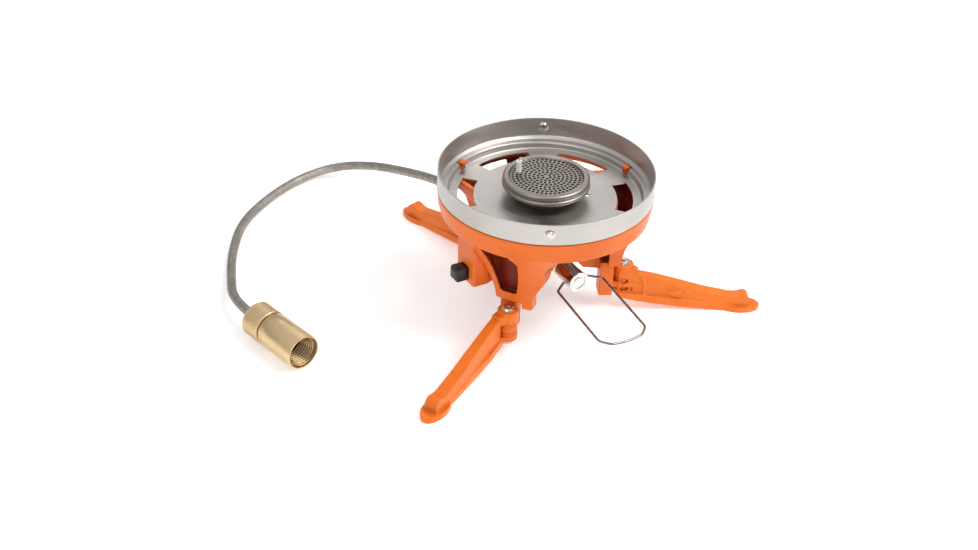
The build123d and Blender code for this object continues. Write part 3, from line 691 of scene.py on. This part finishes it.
SLOTS, SLOT_SWEEP, SLOT_IN, SLOT_OUT = 6, 40, 42.5 * MM, 52 * MM
THROUGH = (FLOOR_Z - 2 * SHEET, FLOOR_Z + SHEET)    # from below to above the floor sheet
tools = [prism("slot", arc_slot(10 + 60 * k, SLOT_SWEEP, SLOT_IN, SLOT_OUT), *THROUGH)
         for k in range(SLOTS)]
for hook in (0, 120, 240):
    tools.append(prism("notch", rounded([(-2.6 * MM, -4.5 * MM, 1 * MM), (2.6 * MM, -4.5 * MM, 1 * MM),
                                         (2.6 * MM, 4.5 * MM, 1 * MM),
                                         (-2.6 * MM, 4.5 * MM, 1 * MM)], 3),
                       0, 4.0 * MM, at_azimuth(hook, 56.4 * MM, 81 * MM)))
pentagon = [(1.7 * MM * math.cos(2 * math.pi * k / 5), 1.7 * MM * math.sin(2 * math.pi * k / 5))
            for k in range(5)]
peep = Matrix.Rotation(math.radians(-27), 4, "Z") @ Matrix.Translation((25 * MM, 0, 0))
tools.append(prism("peep", pentagon, *THROUGH, peep))
cut(ring, tools)
stand_for(smooth(ring, 40), "pot_ring")

RIVET_Z, RIVETS = 90 * MM, (60, 240)
heads = []
for azimuth in RIVETS:
    for outward, base in ((1, RING_R), (-1, inner)):
        place = at_azimuth(azimuth, base, RIVET_Z)
        if outward < 0:
            place = place @ Matrix.Rotation(math.pi, 4, "X")
        dome = rounded([(0, -0.6 * MM, 0), (3.3 * MM, -0.6 * MM, 0), (3.3 * MM, 0.15 * MM, 0.1 * MM),
                        (2.5 * MM, 0.45 * MM, 0.2 * MM), (2.0 * MM, 1.2 * MM, 0.7 * MM),
                        (0.001 * MM, 1.35 * MM, 0)], 6)
        heads.append(lathe("rivet", dome, 40, place))
stand_for(smooth(add_object("ring_rivet_heads", merged("ring_rivet_heads", heads)), 45),
          "ring_rivets")


# ---- burner plate: thin sheet with its ports and a shallow dish ------------------------------
low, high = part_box("burner_plate")
PLATE_R, PLATE_TOP, PORT_R = (high[0] - low[0]) / 2, high[2], 0.98 * MM
plate_outline = [(0.001 * MM, PLATE_TOP), (17 * MM, PLATE_TOP), (PLATE_R - 1.2 * MM, PLATE_TOP),
                 (PLATE_R - 0.4 * MM, PLATE_TOP - 0.1 * MM), (PLATE_R, PLATE_TOP - 0.5 * MM),
                 (PLATE_R - 0.3 * MM, PLATE_TOP - 0.8 * MM), (0.001 * MM, PLATE_TOP - 0.5 * MM)]
plate = add_object("burner_plate_ports", lathe("burner_plate_ports", plate_outline, 128))
PORT_RINGS, PORT_PITCH = 8, 2.48 * MM
ports = []
for k in range(1, PORT_RINGS + 1):
    for n in range(6 * k):
        turn = 2 * math.pi * n / (6 * k) + math.radians(11 * k)
        port = [(PORT_PITCH * k * math.cos(turn) + PORT_R * math.cos(math.pi * m / 5),
                 PORT_PITCH * k * math.sin(turn) + PORT_R * math.sin(math.pi * m / 5))
                for m in range(10)]
        ports.append(prism("port", port, PLATE_TOP - 2 * MM, PLATE_TOP + 1 * MM))
cut(plate, ports)
stand_for(smooth(plate, 40), "burner_plate")
gauze = smooth(add_object("burner_gauze", lathe("burner_gauze", [
    (0.001 * MM, PLATE_TOP - 1.6 * MM), (20.5 * MM, PLATE_TOP - 1.4 * MM),
    (20.6 * MM, PLATE_TOP - 1.6 * MM), (0.001 * MM, PLATE_TOP - 1.8 * MM)], 96)))
gauze.data.materials.append(compound("sooty_gauze", (0.012, 0.010, 0.009), (0.035, 0.028, 0.024), 0.7))
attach(gauze, "stove")


# ---- orange mouldings -----------------------------------------------------------------
base = stand_for(moulded("base_housing", voxel=0.5 * MM, passes=3), "base_housing")
# painted shade: a second slot with the dark red material for the pillars' hollows
base.data.materials.append(painted_shade_orange)


# a pillar's hollow: its heights, its back, its curved front, and its two leaning side walls
HOLLOW_FOOT, HOLLOW_RISE, HOLLOW_BACK = 35 * MM, 41 * MM, 42.0 * MM
HOLLOW_FRONT, FRONT_FLARE, FRONT_MOST = 48.0 * MM, 10.3, 60.0 * MM
LOW_SIDE, LOW_LEAN, HIGH_SIDE, HIGH_LEAN = 9.0 * MM, 0.46, 12.0 * MM, 0.42
MIDDLE_DEEP, MIDDLE_ACROSS, MIDDLE_Z = 48 * MM, 1.5 * MM, 56 * MM


def in_hollow(face, pillar):
    """Whether a face is on the inner walls of the pillar that stands over this leg pivot."""
    out = Vector((pillar.x, pillar.y, 0)).normalized()
    aside = Z.cross(out)
    deep, across = face.center.dot(out), face.center.dot(aside)
    rise = face.center.z - HOLLOW_FOOT
    front = min(HOLLOW_FRONT + FRONT_FLARE * rise * rise, FRONT_MOST)
    within = (0 < rise < HOLLOW_RISE and deep > HOLLOW_BACK and math.hypot(deep, across) < front
              and -LOW_SIDE - LOW_LEAN * rise < across < HIGH_SIDE + HIGH_LEAN * rise)
    middle = out * MIDDLE_DEEP + aside * MIDDLE_ACROSS + Z * MIDDLE_Z
    return within and face.normal.dot(middle - face.center) > 0


pillars = [Vector(joints[f"leg_{side}_fold"]["pos_m"]) for side in ("left", "right", "rear")]
# painted shade: faces on the inner walls of the pillars' hollows take the dark red material
for face in base.data.polygons:
    face.material_index = int(any(in_hollow(face, pillar) for pillar in pillars))

stand_for(moulded("igniter_cover", voxel=0.4 * MM, passes=3), "igniter_cover")
stand_for(moulded("knob_core", voxel=0.25 * MM, passes=2), "knob_core")

LEG_OFFSET = Vector((73.5 * MM, -3.5 * MM, 0))      # foot pad centre from the pivot, leg straight out
SIDE_Y, SIDE_DRAFT = -7.8 * MM, 0.081               # outer wall at 6 mm up, and its lean per height


def on_side(x, z, proud):
    """A point on a leg's outer wall, or this far out of it."""
    return Vector((x, SIDE_Y + (z - 6 * MM) * SIDE_DRAFT - proud, z))


def side_bead(path, radius):
    """A raised bead that follows points (x, z) on a leg's outer wall."""
    rows = []
    for k, (x, z) in enumerate(path):
        x2, z2 = path[min(k + 1, len(path) - 1)]
        x1, z1 = path[max(k - 1, 0)]
        along = Vector((x2 - x1, 0, z2 - z1)).normalized()
        cross = along.cross(Vector((0, 1, 0))).normalized()
        middle = on_side(x, z, 0)
        rows.append([middle + cross * (radius * math.cos(math.pi * 2 * n / 8))
                     + Vector((0, -radius * 0.8 * math.sin(math.pi * 2 * n / 8), 0))
                     for n in range(8)])
    mesh = grid("bead", rows, closed_along=False)
    shape = bmesh.new()
    shape.from_mesh(mesh)
    bmesh.ops.holes_fill(shape, edges=[e for e in shape.edges if e.is_boundary])
    bmesh.ops.recalc_face_normals(shape, faces=shape.faces)
    shape.to_mesh(mesh)
    shape.free()
    return mesh


def leaf(x, z, length, height, points=20):
    """A closed pointed oval, as (x, z) points."""
    found = []
    for k in range(points + 1):
        turn = 2 * math.pi * k / points
        found.append((x + length * math.cos(turn),
                      z + height * math.sin(turn) * (1 - 0.45 * abs(math.cos(turn)) ** 3)))
    return found


for side in ("left", "right", "rear"):
    pivot = Vector(joints[f"leg_{side}_fold"]["pos_m"])
    pivot.z = 0
    toward = Vector(mounts[f"foot_{side}"]["pos_m"]) - pivot
    heading = math.atan2(toward.y, toward.x) - math.atan2(LEG_OFFSET.y, LEG_OFFSET.x)
    to_row = Matrix.Translation(pivot) @ Matrix.Rotation(heading, 4, "Z")
    details = [
        side_bead([(x * MM, z * MM) for x, z in ((11.5, 22.4), (12.6, 19), (13.2, 15), (13.4, 10.0))],
                  0.95 * MM),
        side_bead(leaf(34 * MM, 12.5 * MM, 5.8 * MM, 3.3 * MM), 0.80 * MM),
        side_bead(leaf(33 * MM, 12 * MM, 2.0 * MM, 1.0 * MM, 12), 0.70 * MM)]
    for detail in details:
        detail.transform(to_row)
    leg = moulded(f"leg_{side}", voxel=0.33 * MM, passes=6, extras=details)
    # painted light: the legs take the lighter, yellower copy of the orange plastic
    stand_for(leg, f"leg_{side}", leg_orange)


# ---- hard pieces with broken edges ------------------------------------------------------
for node in ("leg_screws", "knob_sleeve", "knob_disc", "igniter_button", "burner_nut", "gland_nut",
             "inlet_fitting", "leg_nuts"):
    stand_for(machined(node), node)


# ---- button spring: a coil of wire in the CAD spring's place -----------------------------
low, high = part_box("button_spring")
WIRE_R, COILS, PER_COIL = 0.3 * MM, 5, 24
spring_y, spring_z = (low[1] + high[1]) / 2, (low[2] + high[2]) / 2
COIL_R, SPRING_L = (high[1] - low[1]) / 2 - WIRE_R, high[0] - low[0] - 2 * WIRE_R
turns = []
for k in range(COILS * PER_COIL + 1):
    turn = 2 * math.pi * k / PER_COIL
    outward = Vector((0, math.cos(turn), math.sin(turn)))
    middle = Vector((low[0] + WIRE_R + SPRING_L * k / (COILS * PER_COIL), spring_y, spring_z))
    turns.append([middle + outward * (COIL_R + WIRE_R * math.cos(math.pi * n / 4))
                  + Vector((WIRE_R * math.sin(math.pi * n / 4), 0, 0)) for n in range(8)])
spring = stand_for(smooth(add_object("button_spring_coil", grid(
    "button_spring_coil", turns, closed_along=False)), 60), "button_spring")
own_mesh(spring)


# ---- stage: pale floor and soft studio light ----------------------------------------------
floor = add_object("floor", bpy.data.meshes.new("floor"))
floor.data.from_pydata([(-6, -6, 0), (6, -6, 0), (6, 6, 0), (-6, 6, 0)], [], [(0, 1, 2, 3)])
paper = Finish("paper", (0.93, 0.93, 0.93), 0.9, Emission_Strength=0.28)
paper.set("Emission Color", (1, 1, 1, 1))
floor.data.materials.append(paper.material)

world = bpy.data.worlds.new("studio")
bpy.context.scene.world = world
world.use_nodes = True
sky = world.node_tree
ramp = sky.nodes.new("ShaderNodeValToRGB")
ramp.color_ramp.elements[0].position, ramp.color_ramp.elements[1].position = 0.50, 0.80
ramp.color_ramp.elements[0].color = (0.36, 0.355, 0.35, 1)
ramp.color_ramp.elements[1].color = (1.0, 1.0, 1.0, 1)
height = sky.nodes.new("ShaderNodeSeparateXYZ")
coord = sky.nodes.new("ShaderNodeTexCoord")
half = sky.nodes.new("ShaderNodeMath")
half.operation = "MULTIPLY_ADD"
half.inputs[1].default_value = half.inputs[2].default_value = 0.5
sky.links.new(coord.outputs["Generated"], height.inputs[0])
sky.links.new(height.outputs["Z"], half.inputs[0])
sky.links.new(half.outputs[0], ramp.inputs["Fac"])
sky.links.new(ramp.outputs["Color"], sky.nodes["Background"].inputs["Color"])
sky.nodes["Background"].inputs["Strength"].default_value = 0.70


def softbox(name, place, size, watts, aim=(0, 0, 0.05)):
    light = bpy.data.lights.new(name, "AREA")
    light.shape, light.size, light.energy = "DISK", size, watts
    lamp = bpy.data.objects.new(name, light)
    lamp.location = place
    lamp.rotation_mode = "QUATERNION"
    lamp.rotation_quaternion = (Vector(aim) - Vector(place)).to_track_quat("-Z", "Y")
    bpy.context.scene.collection.objects.link(lamp)


softbox("key", (0.72, -0.62, 1.25), 0.9, 17)
softbox("fill", (-1.0, -0.6, 0.9), 1.2, 4.5)
softbox("rim", (0.6, 1.1, 1.2), 0.9, 2)

bpy.context.scene.view_settings.view_transform = "Standard"
